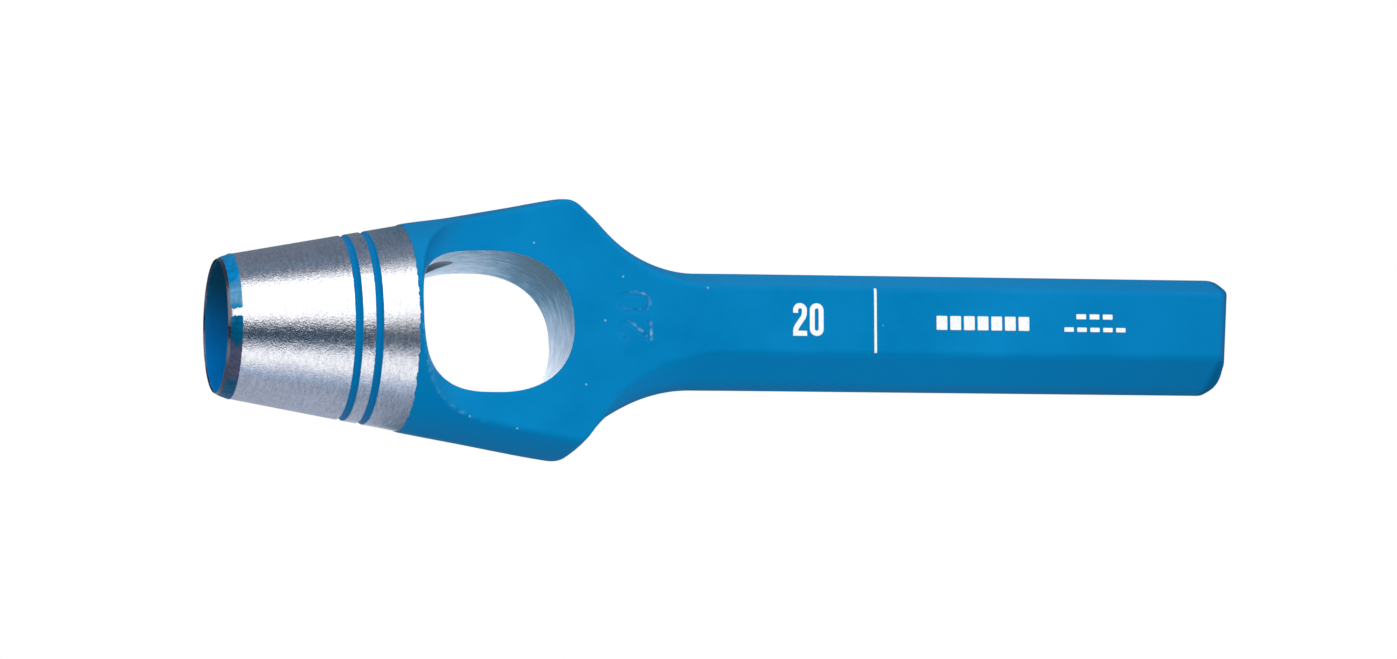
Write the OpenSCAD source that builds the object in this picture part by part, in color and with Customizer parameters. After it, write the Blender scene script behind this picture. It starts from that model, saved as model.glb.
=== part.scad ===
// Arch-type drive hole punch: one drop-forged, ground and enamelled steel tool.
// X runs along the tool from the cutting edge (X = 0) to the striking end.
// Z is normal to the wide marked face (+Z), Y runs across the arch.

/* [Cutting tube] */
// diameter of the hole the punch cuts, at the cutting edge (mm)
hole_d = 20; // [19:0.1:20.5]
// flat land left on the cutting edge (mm)
edge_land = 0.1; // [0.05:0.05:0.3]
// length of the cutting bevel along the tool (mm)
bevel_len = 2.1; // [1.6:0.1:2.6]
// outer radius where the bevel meets the ground cone (mm)
bevel_r = 10.8; // [10.6:0.01:11.1]
// radius gained per mm along the ground cone
cone_slope = 0.183; // [0.177:0.001:0.189]
// radius gained per mm along the bore, so slugs fall free
bore_slope = 0.0107; // [0.004:0.0001:0.0125]
// length of the bright ground cone, measured from the edge (mm)
ground_len = 27.65; // [26.5:0.05:27.8]

/* [Turned grooves] */
// start of the front groove (mm)
groove_front_x = 18.3; // [16:0.1:19]
// start of the rear groove (mm)
groove_rear_x = 21.3; // [20.7:0.1:23.7]
// width of each groove (mm)
groove_w = 1.1; // [0.8:0.1:1.5]
// depth of each groove (mm)
groove_d = 0.6; // [0.45:0.05:0.9]

/* [Arch] */
// half thickness of the arch between its scooped faces (mm)
arch_half_t = 7.7; // [7:0.1:8.4]
// radius of the scoop that runs the cone into the flat face (mm)
scoop_r = 11.4; // [11:0.1:11.8]
// centre of the scoop along the tool (mm)
scoop_x = 39; // [38.8:0.1:39.4]
// radius of the rounded corner of the arch (mm)
apex_r = 3.9; // [3.4:0.1:4.3]
// distance of the corner's centre from the axis (mm)
apex_y = 16; // [15.9:0.05:16.2]
// radius of the concave shoulder (mm)
shoulder_r = 23.8; // [22:0.2:25.6]

/* [Ejection window] */
// tube end of the window (mm)
window_x0 = 28.2; // [28.15:0.05:28.8]
// shank end of the window (mm)
window_x1 = 53.1; // [51:0.1:54]
// half height of the window, across the arch (mm)
window_half_h = 10.8; // [10.55:0.05:11.2]
// how far the window sits off the axis (mm)
window_offset = -0.4; // [-0.6:0.1:0]
// squareness of the corners at the tube end
window_n_tube = 2.75; // [2.4:0.05:3.2]
// squareness of the corners at the shank end
window_n_shank = 2.3; // [2:0.05:2.8]

/* [Shank] */
// overall length of the forging (mm)
total_len = 157.6; // [148:0.2:172]
// where the shoulder has run into the shank (mm)
shank_x = 73.3; // [71.8:0.5:74.8]
// half width of the shank across its side lands (mm)
shank_half_w = 8.9; // [8.6:0.1:9.6]
// half thickness of the shank across its flats (mm)
shank_half_t = 9; // [8.6:0.1:9.6]
// half width of the marked flat (mm)
flat_half_w = 5.2; // [4.8:0.1:6]
// half height of the narrow side land (mm)
land_half_h = 2; // [1:0.1:3]
// plan radius of the facet where it sweeps onto the shoulder (mm)
facet_sweep_r = 20.5; // [19:0.5:22]
// corner radius of the striking end, seen from above (mm)
end_r = 2.6; // [2:0.1:3.4]
// edge radius of the striking end, seen from the side (mm)
end_edge_r = 1.2; // [1:0.1:2.4]

/* [Enamel and marks] */
// thickness of the enamel (mm)
coat_t = 0.15; // [0.12:0.01:0.25]
// thickness of the enamel inside the bore and on the bevel (mm)
thin_coat_t = 0.12; // [0.1:0.01:0.2]
// thickness of the printed marks (mm)
print_t = 0.12; // [0.1:0.01:0.2]
// depth of the stamped size mark in the steel (mm)
stamp_d = 0.3; // [0.2:0.05:0.5]
// height of the stamped and the printed figures (mm)
figure_h = 5.1; // [4.4:0.1:5.6]
// stroke width of the printed figures (mm)
print_stroke = 0.8; // [0.6:0.05:1]
// stroke width of the stamped figures (mm)
stamp_stroke = 0.5; // [0.4:0.05:0.7]

/* [Hidden] */
$fn = 96;

enamel_blue = "#0081be";
print_white = "#f4f4f0";

// tube
edge_r = hole_d / 2;
bore_r = edge_r - edge_land;
cone_a = atan(cone_slope);
bevel_slope = (bevel_r - edge_r) / bevel_len;
bevel_a = atan(bevel_slope);
cone_end_x = 58.7;               // the envelope is a plain cylinder beyond here
bore_depth = 40.7;

// window
window_mid_x = (window_x0 + window_x1) / 2;
window_half_len = (window_x1 - window_x0) / 2;

// arch and shoulder
shoulder_dip = 0.1;              // the shoulder bottoms this far inside the side land
shoulder_y = shank_half_w - shoulder_dip + shoulder_r;
// the corner's centre, placed so its arc touches the shoulder arc
apex_x = shank_x - sqrt(pow(shoulder_r + apex_r, 2) - pow(shoulder_y - apex_y, 2));
apex_a = atan2(shoulder_y - apex_y, shank_x - apex_x);
rise_x0 = 65.8;                  // the face rises from the arch to the shank
rise_x1 = 77.6;
rise_steps = 10;

// facets, as [y, z] in the section of the shank
facet_y = flat_half_w + facet_sweep_r;
facet_run = [flat_half_w - shank_half_w, shank_half_t - land_half_h];
facet_along = facet_run / norm(facet_run);
facet_out = [facet_along.y, -facet_along.x];
facet_extra = 1.2;               // cutter reach past both edges of the facet
facet_sweep_a = 75;

// stock and cutter sizes
stock_half = 30;                 // half size of the outline prisms
outline_x0 = -2;                 // start of the plan and side outlines
outline_half = 27;               // their half height ahead of the arch
overcut = 2;

// enamel extents
bore_coat_x = [0.6, 27.95];
bevel_coat_x = [0.5, bevel_len - 0.05];
groove_coat_t = 0.25;

// marks
stamp_at = [62.4, 0.55];         // centre of the stamped figures
stamp_clear = 3;                 // height of the stamp cutters above the arch face
stamp_coat_cut = 1;              // their depth below it when cutting the enamel
stamp_fill_proud = 0.03;         // the enamel in the stamp ends this far above it
print_z = shank_half_t + coat_t; // outer face of the enamel on the shank

// ---- Curves and outlines ----

function cone_r(x) = bevel_r + cone_slope * (x - bevel_len);
function bevel_r_at(x) = edge_r + bevel_slope * x;
function bore_r_at(x) = bore_r + bore_slope * x;

function arc(center, radius, start, end, steps) =
  [for (i = [0:steps])
    let (angle = start + (end - start) * i / steps)
    center + radius * [cos(angle), sin(angle)]];

// closes a half outline with its mirror image in the X axis
function mirrored(half) =
  concat(half, [for (i = [len(half) - 1:-1:0]) [half[i].x, -half[i].y]]);

function signed_pow(base, power) = sign(base) * pow(abs(base), power);

// superellipse with a different squareness at each end
function window_point(angle) =
  let (power = 2 / (cos(angle) > 0 ? window_n_shank : window_n_tube))
  [window_mid_x + window_half_len * signed_pow(cos(angle), power),
   window_offset + window_half_h * signed_pow(sin(angle), power)];

// +Y half of the plan outline, grown outwards
function plan_half(grow) = concat(
  [[outline_x0, outline_half], [apex_x - 1.3, outline_half]],
  arc([apex_x, apex_y], apex_r + grow, 102, apex_a, 12),
  // starts 3 degrees past the tangent point
  arc([shank_x, shoulder_y], shoulder_r - grow, apex_a + 183, 270, 20),
  arc([total_len - end_r, shank_half_w - end_r], end_r + grow, 90, 0, 8));

// cosine ease from the arch face to the shank flat
function rise_point(t) =
  [rise_x0 + (rise_x1 - rise_x0) * t,
   arch_half_t + (shank_half_t - arch_half_t) * (1 - cos(180 * t)) / 2];

// +Z half of the side profile, as [x, z], grown outwards
function side_half(grow) = concat(
  [[outline_x0, outline_half], [scoop_x - scoop_r, outline_half]],
  arc([scoop_x, arch_half_t + scoop_r], scoop_r - grow, 187, 270, 20),
  [for (i = [0:rise_steps]) rise_point(i / rise_steps) + [0, grow]],
  arc([total_len - end_edge_r, shank_half_t - end_edge_r], end_edge_r + grow, 90, 0, 6));

// ---- Body solids ----

// turns a profile of [radius, x] points about the X axis
module turned(profile) {
  rotate([0, 90, 0]) rotate_extrude() polygon(profile);
}

module envelope(grow) {
  cone_grow = grow / cos(cone_a);
  back_x = total_len + overcut;
  turned([
    [0, -1],
    [edge_r + grow, -1],
    [edge_r + grow, 0],
    [bevel_r + cone_grow, bevel_len],
    [cone_r(cone_end_x) + cone_grow, cone_end_x],
    [cone_r(cone_end_x) + cone_grow, back_x],
    [0, back_x]]);
}

// prism of a mirrored half outline, centred on its own plane
module outline_prism(half) {
  translate([0, 0, -stock_half]) linear_extrude(2 * stock_half) polygon(mirrored(half));
}

// section of the cutter that leaves one sloping facet of the shank, as [y, z]
function facet_section(grow) =
  let (
    low = [shank_half_w, land_half_h] + grow * facet_out - facet_extra * facet_along,
    high = [flat_half_w, shank_half_t] + grow * facet_out + facet_extra * facet_along,
    far_y = facet_y - 1.5,
    top = high.y + 1)
  [low, [far_y, low.y], [far_y, top], [high.x, top], high];

// straight run along the shank, then a sweep up onto the shoulder
module facet_cutter(grow) {
  section = facet_section(grow);
  translate([shank_x, 0, 0]) rotate([90, 0, 90])
    linear_extrude(total_len - shank_x + 5) polygon(section);
  translate([shank_x, facet_y, 0]) rotate([0, 0, 270 - facet_sweep_a])
    rotate_extrude(angle = facet_sweep_a)
      polygon([for (point = section) [facet_y - point.x, point.y]]);
}

// the outside of the forging, grown outwards
module outer_form(grow) {
  difference() {
    intersection() {
      envelope(grow);
      outline_prism(plan_half(grow));
      rotate([90, 0, 0]) outline_prism(side_half(grow));
    }
    for (my = [0, 1], mz = [0, 1])
      mirror([0, my, 0]) mirror([0, 0, mz]) facet_cutter(grow);
  }
}

// block that removes everything on the cutting-edge side of x
module front_cutter(x) {
  margin = 10;
  translate([-margin, -stock_half, -stock_half])
    cube([margin + x, 2 * stock_half, 2 * stock_half]);
}

module window_solid() {
  translate([0, 0, -20]) linear_extrude(40)
    polygon([for (i = [0:71]) window_point(i * 5 + 2.5)]);
}

module bore_solid() {
  turned([[0, -1], [bore_r_at(-1), -1], [bore_r_at(bore_depth), bore_depth], [0, bore_depth]]);
}

// ring from the groove floor out to a height above it
module groove_ring(x, height) {
  end_x = x + groove_w;
  floor_r = cone_r(x) - groove_d;
  end_floor_r = cone_r(end_x) - groove_d;
  turned([[floor_r, x], [floor_r + height, x],
          [end_floor_r + height, end_x], [end_floor_r, end_x]]);
}

// ---- Figures ----

function line_normal(points, i) =
  let (
    before = points[max(i - 1, 0)],
    after = points[min(i + 1, len(points) - 1)],
    along = (after - before) / norm(after - before))
  [-along.y, along.x];

// outline of one thick line along the points
function thick_line(points, width) = concat(
  [for (i = [0:len(points) - 1]) points[i] + line_normal(points, i) * width / 2],
  [for (i = [len(points) - 1:-1:0]) points[i] - line_normal(points, i) * width / 2]);

// figure 2, lower left corner at the origin
module figure_two(width, height, stroke) {
  radius = (width - stroke) / 2;
  head = arc([width / 2, height - stroke / 2 - radius], radius, 180, -28, 14);
  foot = stroke * [[0.68, 0.9], [0.58, 0.4]];
  polygon(thick_line(concat(head, foot), stroke));
  square([width, stroke]);
}

// figure 0 as a closed ring, lower left corner at the origin
module figure_zero(width, height, stroke) {
  outer_r = width / 2;
  function slot(radius) = concat(
    arc([outer_r, height - outer_r], radius, 0, 180, 12),
    arc([outer_r, outer_r], radius, 180, 360, 12));
  difference() {
    polygon(slot(outer_r));
    polygon(slot(outer_r - stroke));
  }
}

// the figures 20, centred on the origin
module size_figures(stroke, gap, width) {
  translate([-width - gap / 2, -figure_h / 2]) figure_two(width, figure_h, stroke);
  translate([gap / 2, -figure_h / 2]) figure_zero(width, figure_h, stroke);
}

// stamped figures, from a depth below the arch face to a height above it
module stamp_solid(depth, height) {
  translate([stamp_at.x, stamp_at.y, arch_half_t - depth]) linear_extrude(depth + height)
    rotate([0, 0, 90]) size_figures(stamp_stroke, gap = 1.3, width = 3.05);
}

// one printed rectangle on the marked flat
module print_block(corner, size) {
  translate([corner.x, corner.y, print_z]) cube([size.x, size.y, print_t]);
}

module print_row(count, pitch, corner, size) {
  for (i = [0:count - 1]) print_block(corner + [i * pitch, 0], size);
}

// ---- Nodes ----

module punch_forging() {
  color("#b9bdc4") difference() {
    outer_form(0);
    front_cutter(0);
    bore_solid();
    window_solid();
    groove_ring(groove_front_x, groove_d + overcut);
    groove_ring(groove_rear_x, groove_d + overcut);
    stamp_solid(stamp_d, stamp_clear);
  }
}

// coat behind the ground cone, and the enamel filling the stamp
module body_enamel() {
  color(enamel_blue) {
    difference() {
      outer_form(coat_t);
      outer_form(0);
      front_cutter(ground_len);
      window_solid();
      stamp_solid(stamp_coat_cut, stamp_clear);
    }
    stamp_solid(stamp_d, stamp_fill_proud);
  }
}

module bore_enamel() {
  x0 = bore_coat_x[0];
  x1 = bore_coat_x[1];
  color("#00628f") turned([
    [bore_r_at(x0) - thin_coat_t, x0], [bore_r_at(x0), x0],
    [bore_r_at(x1), x1], [bore_r_at(x1) - thin_coat_t, x1]]);
}

module bevel_enamel() {
  start = [bevel_r_at(bevel_coat_x[0]), bevel_coat_x[0]];
  end = [bevel_r_at(bevel_coat_x[1]), bevel_coat_x[1]];
  coat = thin_coat_t * [cos(bevel_a), -sin(bevel_a)];
  color(enamel_blue) turned([start, start + coat, end + coat, end]);
}

module groove_enamel_front() {
  color(enamel_blue) groove_ring(groove_front_x, groove_coat_t);
}

module groove_enamel_rear() {
  color(enamel_blue) groove_ring(groove_rear_x, groove_coat_t);
}

module size_print() {
  color(print_white) translate([89.8, 0.1, print_z]) linear_extrude(print_t)
    size_figures(print_stroke, gap = 0.45, width = 2.2);
}

module divider_print() {
  color(print_white) print_block(corner = [99.93, -4.95], size = [0.45, 10.05]);
}

// a plain segmented bar
module bar_print() {
  color(print_white) print_row(7, pitch = 2.22, corner = [110, -1.25], size = [1.75, 2.2]);
}

// two plain dashed rules
module rule_print() {
  color(print_white) {
    print_row(3, pitch = 2.18, corner = [132.8, 0.7], size = [1.6, 0.8]);
    print_row(5, pitch = 2.13, corner = [130.8, -1.3], size = [1.55, 0.7]);
  }
}

punch_forging();
body_enamel();
bore_enamel();
bevel_enamel();
groove_enamel_front();
groove_enamel_rear();
size_print();
divider_print();
bar_print();
rule_print();
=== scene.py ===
"""Looks of a drive hole punch: forged steel, blue enamel, white print, floor, light and camera.

The tool lies along +X with its round cutting edge at x = 0; the cone and bore turn about the
X axis. The marked face looks up, +Z. Lengths are in mm until a mesh is made.
"""

import math
from itertools import product

import bmesh
import bpy
import numpy as np
from mathutils import Matrix


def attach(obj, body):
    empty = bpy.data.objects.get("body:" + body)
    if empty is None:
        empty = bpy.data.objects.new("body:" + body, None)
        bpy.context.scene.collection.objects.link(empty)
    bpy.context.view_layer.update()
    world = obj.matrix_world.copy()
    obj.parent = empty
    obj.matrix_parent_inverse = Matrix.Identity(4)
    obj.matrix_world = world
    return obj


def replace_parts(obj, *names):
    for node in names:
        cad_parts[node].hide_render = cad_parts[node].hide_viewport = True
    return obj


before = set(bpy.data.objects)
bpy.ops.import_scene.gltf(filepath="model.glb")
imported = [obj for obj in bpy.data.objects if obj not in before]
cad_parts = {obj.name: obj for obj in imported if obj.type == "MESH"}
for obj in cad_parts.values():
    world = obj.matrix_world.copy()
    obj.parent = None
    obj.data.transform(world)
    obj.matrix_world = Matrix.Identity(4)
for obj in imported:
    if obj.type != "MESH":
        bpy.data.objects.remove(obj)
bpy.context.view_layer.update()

MM = 0.001

# ------------------------------------------------------------------ driving sizes
# head: a slope is the radius gained per mm of x
EDGE_RADIUS = 10.0
BEVEL_LENGTH = 2.1
BEVEL_RADIUS = 10.8
CONE_SLOPE = 0.183
BORE_RADIUS = 9.9
BORE_SLOPE = 0.0088
BORE_END = 40.7
GROUND_END = 27.65  # bare ground steel stops here and the body enamel starts
GROOVES = (18.3, 21.3)  # start of each groove
GROOVE_WIDTH = 1.1
GROOVE_DEPTH = 0.6

# arch, widths and thicknesses measured from the axis
ARCH_THICK = 7.7
SCOOP_RADIUS = 11.4
SCOOP_X = 39.0
APEX_RADIUS = 3.9
APEX_Y = 16.0
SHOULDER_RADIUS = 23.8
RISE_X = 65.8  # the faces rise here from the arch to the shank
RISE_LENGTH = 11.8

# window through the arch: a superellipse with one power for each half
WINDOW_X = (28.2, 53.1)
WINDOW_MIDDLE = (WINDOW_X[0] + WINDOW_X[1]) / 2
WINDOW_HALF_LENGTH = (WINDOW_X[1] - WINDOW_X[0]) / 2
WINDOW_HALF_WIDTH = 10.8
WINDOW_Y = -0.4
WINDOW_POWER_HEAD = 2.75
WINDOW_POWER_SHANK = 2.3

# shank, measured from the axis
LENGTH = 158.12
SHANK_X = 73.3
SHANK_WIDE = 8.9
SHANK_THICK = 9.2
SHANK_FLARE = 0.25  # half width gained along the shank
FLAT_WIDE = 5.2  # the facet runs from the top flat...
LAND_HIGH = 2.0  # ...down to the narrow land on the side
SWEEP_RADIUS = 20.5
END_RADIUS_PLAN = 1.5
END_RADIUS_SIDE = 2.0
END_SLANT = 0.115  # x shift of the far end per mm of y

COAT = 0.15  # enamel thickness

CONE_COS = math.cos(math.atan(CONE_SLOPE))
BEVEL_ANGLE = math.atan((BEVEL_RADIUS - EDGE_RADIUS) / BEVEL_LENGTH)
SHOULDER_Y = SHANK_WIDE - SHANK_FLARE + SHOULDER_RADIUS
APEX_X = SHANK_X - math.sqrt(
    (SHOULDER_RADIUS + APEX_RADIUS) ** 2 - (SHOULDER_Y - APEX_Y) ** 2)
FACET_Y = FLAT_WIDE + SWEEP_RADIUS
FACET_SPAN = math.hypot(SHANK_WIDE - FLAT_WIDE, SHANK_THICK - LAND_HIGH)
FACET_NORMAL = ((SHANK_THICK - LAND_HIGH) / FACET_SPAN, (SHANK_WIDE - FLAT_WIDE) / FACET_SPAN)


def cone_radius(x):
    return BEVEL_RADIUS + CONE_SLOPE * (x - BEVEL_LENGTH)


def bore_radius(x):
    return BORE_RADIUS + BORE_SLOPE * x


def bevel_radius(x):
    return EDGE_RADIUS + (BEVEL_RADIUS - EDGE_RADIUS) * x / BEVEL_LENGTH


# ------------------------------------------------------------------ shaping functions and noise
def unit(t):
    return np.clip(t, 0, 1)


def ease(t):
    t = unit(t)
    return t * t * (3 - 2 * t)


def hump(x, start, rise, end, fall):
    """Eases up from start over rise, and down from end over fall."""
    return ease((x - start) / rise) * (1 - ease((x - end) / fall))


def smooth_max(a, b, blend):
    h = np.maximum(blend - np.abs(a - b), 0.0) / blend
    return np.maximum(a, b) + h * h * blend * 0.25


def lattice(ix, iy, iz, seed):
    """Hashed value from -1 to 1 at whole-number places."""
    h = (ix * 374761393 + iy * 668265263 + iz * 1274126177 + seed * 974634777) & 0xFFFFFFFF
    h = ((h ^ (h >> 13)) * 1103515245) & 0xFFFFFFFF
    h = (h ^ (h >> 16)) & 0xFFFFFF
    return h / float(0xFFFFFF) * 2 - 1


def noise(x, y, z, seed):
    """Smooth value noise from -1 to 1."""
    places = np.broadcast_arrays(*(np.asarray(value, float) for value in (x, y, z)))
    floors = [np.floor(place) for place in places]
    ix, iy, iz = (floor.astype(np.int64) for floor in floors)
    u, v, w = (ease(place - floor) for place, floor in zip(places, floors))
    total = 0.0
    for a, b, c in product((0, 1), repeat=3):
        corner = lattice(ix + a, iy + b, iz + c, seed)
        total = total + (corner * (u if a else 1 - u) * (v if b else 1 - v)
                         * (w if c else 1 - w))
    return total


# ------------------------------------------------------------------ distance fields of the forging
def rounded_end(x, across, half_size, radius):
    """Distance to the far end of the shank with a rounded corner."""
    dx = x - (LENGTH - radius)
    dy = across - (half_size - radius)
    beyond = np.hypot(np.maximum(dx, 0), np.maximum(dy, 0))
    return beyond + np.minimum(np.maximum(dx, dy), 0) - radius


def plan(x, abs_y):
    """Distance to the outline seen from above."""
    flare = (x - SHANK_X) * SHANK_FLARE / (LENGTH - END_RADIUS_PLAN - SHANK_X)
    shank = abs_y - (SHANK_WIDE - SHANK_FLARE + flare)
    shoulder = SHOULDER_RADIUS - np.hypot(x - SHANK_X, abs_y - SHOULDER_Y)
    to_x = SHANK_X - APEX_X
    to_y = SHOULDER_Y - APEX_Y
    above = to_x * (abs_y - APEX_Y) - to_y * (x - APEX_X) > 0
    apex = np.where(x < APEX_X, abs_y - APEX_Y - APEX_RADIUS,
                    np.hypot(x - APEX_X, abs_y - APEX_Y) - APEX_RADIUS)
    distance = np.where(x >= SHANK_X, shank, np.where(above, apex, shoulder))
    end = rounded_end(x, abs_y, SHANK_WIDE, END_RADIUS_PLAN)
    return np.where(x > LENGTH - END_RADIUS_PLAN, end, distance)


def side(x, abs_z):
    """Distance to the profile seen from the side."""
    scoop = SCOOP_RADIUS - np.hypot(x - SCOOP_X, abs_z - ARCH_THICK - SCOOP_RADIUS)
    t = unit((x - RISE_X) / RISE_LENGTH)
    rise = SHANK_THICK - ARCH_THICK
    height = ARCH_THICK + rise * (1 - np.cos(np.pi * t)) / 2
    slope = rise * np.pi * np.sin(np.pi * t) / (2 * RISE_LENGTH)
    face = (abs_z - height) / np.sqrt(1 + slope * slope)
    distance = np.where(x < SCOOP_X, scoop, face)
    end = rounded_end(x, abs_z, SHANK_THICK, END_RADIUS_SIDE)
    return np.where(x > LENGTH - END_RADIUS_SIDE, end, distance)


def facet(x, abs_y, abs_z):
    """Distance to the sloping facet that runs along the shank and sweeps onto the shoulder."""
    swept = FACET_Y - np.hypot(x - SHANK_X, abs_y - FACET_Y)
    y = np.where(x >= SHANK_X, abs_y, swept)
    return (y - SHANK_WIDE) * FACET_NORMAL[0] + (abs_z - LAND_HIGH) * FACET_NORMAL[1]


def arc(x, y, radius_x, radius_y, start, end, count):
    """Points on an ellipse between two angles in degrees."""
    angles = np.radians(np.linspace(start, end, count + 1))
    return [(x + radius_x * math.cos(a), y + radius_y * math.sin(a)) for a in angles]


# size mark struck into the marked face: centre lines of its figures, as (along +Y, along -X)
STAMP_TWO = arc(-2.2, 1.12, 1.28, 1.25, 168, -22, 12)
STAMP_TWO += [(-3.3, -2.0), (-3.42, -2.32), (-0.85, -2.32)]
STAMP_ZERO = arc(2.2, 0.95, 1.28, 1.42, 0, 180, 12) + arc(2.2, -0.95, 1.28, 1.42, 180, 360, 12)
STAMP_ZERO += [(3.48, 0.95)]
STAMP_X = 62.4
STAMP_Y = 0.55
STAMP_STROKE = 0.42  # half width at the face
STAMP_WALL = 0.26  # width of each sloping side
STAMP_DEPTH = 0.26


def stamp(x, y, z):
    """0 away from the mark, up to 1 at the middle of a stroke, on the marked side only."""
    out = np.zeros(np.shape(x))
    near = (z > 4) & (np.abs(x - STAMP_X) < 3.6) & (np.abs(y - STAMP_Y) < 4.6)
    if not near.any():
        return out
    u = y[near] - STAMP_Y
    v = STAMP_X - x[near]
    best = np.full(u.shape, 9.0)
    for path in (STAMP_TWO, STAMP_ZERO):
        for (au, av), (bu, bv) in zip(path[:-1], path[1:]):
            du = bu - au
            dv = bv - av
            t = unit(((u - au) * du + (v - av) * dv) / (du * du + dv * dv + 1e-9))
            best = np.minimum(best, np.hypot(u - au - t * du, v - av - t * dv))
    # struck by hand, so the edge towards the shank went in deeper
    tilt = 0.72 + 0.28 * np.clip((x[near] - STAMP_X) / 2.6, -1, 1)
    out[near] = ease((STAMP_STROKE - best) / STAMP_WALL) * tilt
    return out


def cone(x, y, z):
    return (np.hypot(y, z) - cone_radius(x)) * CONE_COS


def outer(x, y, z):
    """Distance to the outside of the bare forging."""
    abs_y = np.abs(y)
    abs_z = np.abs(z)
    # the far end is out of square, and fuller at its -Y edge
    x = x - (END_SLANT * y + 0.80 * ease((-y - 5.0) / 3.0)) * unit((x - 130) / 20)
    # the two shoulders of the arch are not quite alike
    left = ease(y / 6)
    plan_x = x - 0.72 * left * hump(x, 53.5, 4.5, 68, 11)
    plan_x = plan_x - 0.22 * ease(-y / 6) * hump(x, 57.5, 6, 67, 12)
    f = cone(x, y, z) + 0.27 * left * hump(x, GROUND_END + 0.4, 8, 44, 12)
    f = smooth_max(f, plan(plan_x, abs_y), 1.6)
    f = smooth_max(f, side(x, abs_z), np.where(x < SCOOP_X, 0.16, 0.5))
    f = smooth_max(f, facet(plan_x, abs_y, abs_z), 0.75)
    # the faces of a drop forging are never dead flat
    swell = noise(x * 0.11, y * 0.13, z * 0.1, 3)
    f = f + 0.035 * swell * unit((x - 31) / 6) * unit((81 - x) / 6)
    return f + STAMP_DEPTH * stamp(x, y, z)


def window(x, y, z):
    """Negative in the metal, positive inside the window."""
    u = (x - WINDOW_MIDDLE) / WINDOW_HALF_LENGTH
    v = (y - WINDOW_Y) / WINDOW_HALF_WIDTH
    power = np.where(u > 0, WINDOW_POWER_SHANK, WINDOW_POWER_HEAD)
    u = np.abs(u) + 1e-6
    v = np.abs(v) + 1e-6
    size = (u**power + v**power) ** (1 / power)
    slope_x = (u / size) ** (power - 1) / WINDOW_HALF_LENGTH
    slope_y = (v / size) ** (power - 1) / WINDOW_HALF_WIDTH
    return (1 - size) / np.hypot(slope_x, slope_y)


def bore(x, y, z):
    return -np.maximum(np.hypot(y, z) - bore_radius(x), x - BORE_END)


def head_cut(x, y, z):
    """Cuts the sculpted part off where the turned head joins it."""
    return GROUND_END - x


def coat_outer(x, y, z):
    return outer(x, y, z) - COAT


def coat_window(x, y, z):
    return window(x, y, z) + 0.02 + 0.015 * noise(x * 1.3, y * 1.3, z * 0.8, 21)


def coat_cut(x, y, z):
    """Chipped front edge of the body enamel."""
    a = np.arctan2(z, y)
    chips = np.clip(noise(a * 18, 7, 0, 33) - 0.55, 0, 1)
    ragged = 0.10 * noise(a * 26, 0, 0, 31) + 0.07 * noise(a * 70, 3, 0, 32) - 0.25 * chips
    return GROUND_END - x + ragged


# ------------------------------------------------------------------ surface extraction
def evaluate(surfaces, x, y, z):
    return np.array([surface(x, y, z) for surface in surfaces])


def gradient(surface, points, reach=0.004):
    out = np.empty_like(points)
    for axis in range(3):
        ahead, behind = points.copy(), points.copy()
        ahead[:, axis] += reach
        behind[:, axis] -= reach
        out[:, axis] = (surface(*ahead.T) - surface(*behind.T)) / (2 * reach)
    return out


def project(points, mask, surfaces, rounds=6, limit=None, target=None):
    """Moves each point the shortest way onto the surfaces named in its mask."""
    points = points.copy()
    for bits in np.unique(mask):
        which = [n for n in range(len(surfaces)) if bits >> n & 1]
        chosen = np.nonzero(mask == bits)[0]
        p = points[chosen].copy()
        start = p.copy()
        for _ in range(rounds):
            miss = np.stack(
                [surfaces[n](*p.T) - (target[n] if target else 0) for n in which], 1)
            slopes = np.stack([gradient(surfaces[n], p) for n in which], 1)
            turned = slopes.transpose(0, 2, 1)
            system = slopes @ turned + np.eye(len(which)) * 1e-6
            step = -(turned @ np.linalg.solve(system, miss[:, :, None]))[:, :, 0]
            length = np.linalg.norm(step, axis=1, keepdims=True)
            p = p + step * np.minimum(1, 0.6 / np.maximum(length, 1e-9))
            if limit is not None:
                p = np.clip(p, start - limit, start + limit)
        points[chosen] = p
    return points


def quad_edges(quads):
    return np.concatenate([quads[:, [i, (i + 1) % 4]] for i in range(4)])


def relaxed(points, quads, mask, surfaces, rounds):
    """Evens out the points; one on a feature line follows only that line's points."""
    edges = np.unique(np.sort(quad_edges(quads), 1), axis=0)
    on_line = (mask & (mask - 1)) > 0
    surface_count = [bin(bits).count("1") for bits in range(1 << len(surfaces))]
    on_corner = np.array(surface_count)[mask] > 2
    for _ in range(rounds):
        total, weight = np.zeros_like(points), np.zeros(len(points))
        for side_a, side_b in ((0, 1), (1, 0)):
            here, there = edges[:, side_a], edges[:, side_b]
            used = ~on_line[here] | (mask[here] == mask[there])
            here, there = here[used], there[used]
            for axis in range(3):
                total[:, axis] += np.bincount(here, points[there, axis], len(points))
            weight += np.bincount(here, minlength=len(points))
        ok = weight > 1
        moved = points.copy()
        moved[ok] = points[ok] + 0.45 * (total[ok] / weight[ok, None] - points[ok])
        moved[on_corner] = points[on_corner]
        points = project(moved, mask, surfaces, rounds=3)
    return points


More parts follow.
